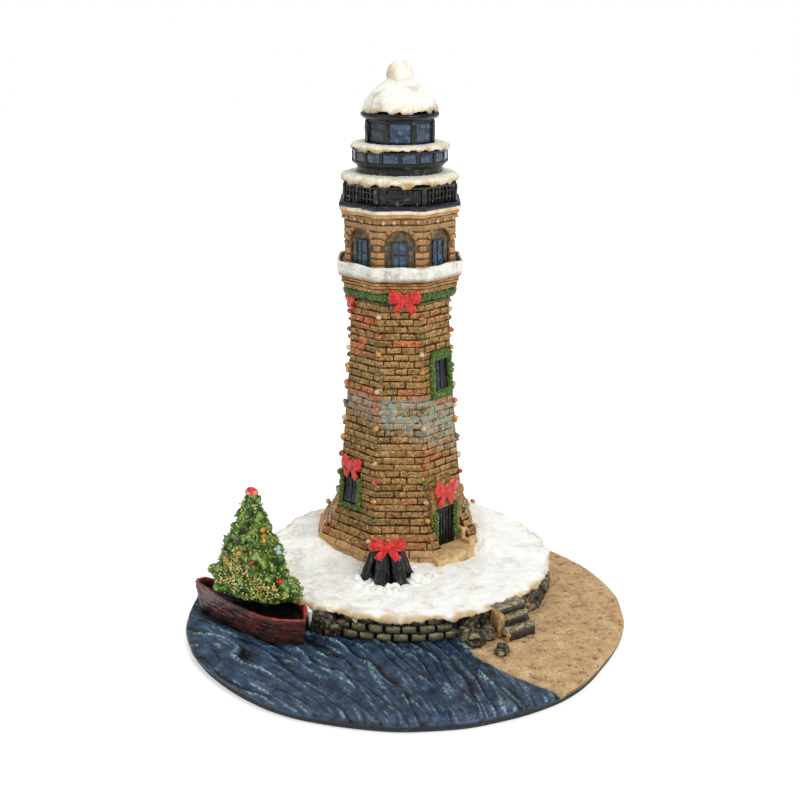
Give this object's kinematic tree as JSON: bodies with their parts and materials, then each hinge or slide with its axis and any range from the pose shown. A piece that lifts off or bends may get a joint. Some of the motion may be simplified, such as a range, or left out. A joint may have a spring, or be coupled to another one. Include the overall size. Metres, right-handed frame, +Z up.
{
  "type": "lighthouse ornament",
  "caption": "Painted ornament of an eight-sided brick lighthouse with snow, garlands and lights on a round base of sea and beach, with a boat carrying a fir tree.",
  "frame": {"origin": "centre of the round base, on the face it stands on", "axes": "+Z up, +X to the right and -Y towards the front, where the boat and the steps are"},
  "size_m": [0.123, 0.123, 0.1523],
  "materials": {
    "base_resin": "bare cast resin, felt-free underside, matt",
    "sea_resin": "cast resin painted navy and slate blue, crests dry brushed in pale blue, satin",
    "sand_resin": "cast resin painted sand, speckled and pitted, matt",
    "wall_stone_resin": "cast resin painted khaki stone over a black wash",
    "rock_resin": "cast resin painted near black with brushed olive edges",
    "snow_resin": "cast resin painted off-white, tan wash at the edges",
    "brick_resin": "cast resin painted as tan and orange brick over dark joints",
    "tan_stone_resin": "cast resin painted tan stone, matt",
    "cream_resin": "cast resin painted cream, tan shading",
    "black_gloss_resin": "cast resin painted gloss black",
    "blue_pane_resin": "cast resin painted slate blue, gloss",
    "evergreen_resin": "cast resin painted green, knobbly, with pale tips",
    "tree_resin": "cast resin painted green with gold glitter",
    "gold_glitter": "gold glitter and paint dots on the tree",
    "ribbon_red_resin": "cast resin painted gloss red",
    "boat_resin": "cast resin painted dark maroon, brighter red rim",
    "bulb_white_resin": "paint drop, white, gloss",
    "bulb_red_resin": "paint drop, red, gloss",
    "bulb_amber_resin": "paint drop, amber, gloss",
    "bulb_green_resin": "paint drop, green, gloss"
  },
  "bodies": {
    "root": {"base_plate": "base_resin", "sea": "sea_resin", "beach": "sand_resin", "island_core": "rock_resin", "seawall_blocks": "wall_stone_resin", "rocks_left": "rock_resin", "rocks_right": "rock_resin", "beach_rocks": "rock_resin", "beach_steps": "rock_resin", "snow_blanket": "snow_resin", "icicle": "snow_resin", "tower_plinth": "tan_stone_resin", "door_step": "tan_stone_resin", "tower_shaft": "brick_resin", "door_surround": "brick_resin", "door_leaves": "black_gloss_resin", "door_sprigs": "evergreen_resin", "door_bow": "ribbon_red_resin", "low_window_pane": "black_gloss_resin", "low_window_sprigs": "evergreen_resin", "low_window_bow": "ribbon_red_resin", "high_window_pane": "black_gloss_resin", "high_window_sprigs": "evergreen_resin", "bulbs_white": "bulb_white_resin", "bulbs_red": "bulb_red_resin", "bulbs_amber": "bulb_amber_resin", "bulbs_green": "bulb_green_resin", "corbel": "brick_resin", "garland_ring": "evergreen_resin", "garland_bows": "ribbon_red_resin", "cornice": "tan_stone_resin", "lower_gallery": "snow_resin", "window_storey": "brick_resin", "storey_windows": "blue_pane_resin", "bead_course": "cream_resin", "gallery_deck": "cream_resin", "gallery_railing": "black_gloss_resin", "gallery_snow": "snow_resin", "watch_neck": "black_gloss_resin", "watch_room": "black_gloss_resin", "watch_panes": "blue_pane_resin", "upper_snow": "snow_resin", "lantern_frame": "black_gloss_resin", "lantern_panes": "blue_pane_resin", "lantern_roof": "black_gloss_resin", "roof_snow": "snow_resin", "roof_ball": "snow_resin", "boat_hull": "boat_resin", "boat_rail": "boat_resin", "boat_deck": "black_gloss_resin", "tree_trunk": "rock_resin", "tree": "tree_resin", "tree_baubles": "gold_glitter", "tree_tip": "ribbon_red_resin", "mooring_piles": "black_gloss_resin", "pile_bow": "ribbon_red_resin"}
  },
  "joints": []
}
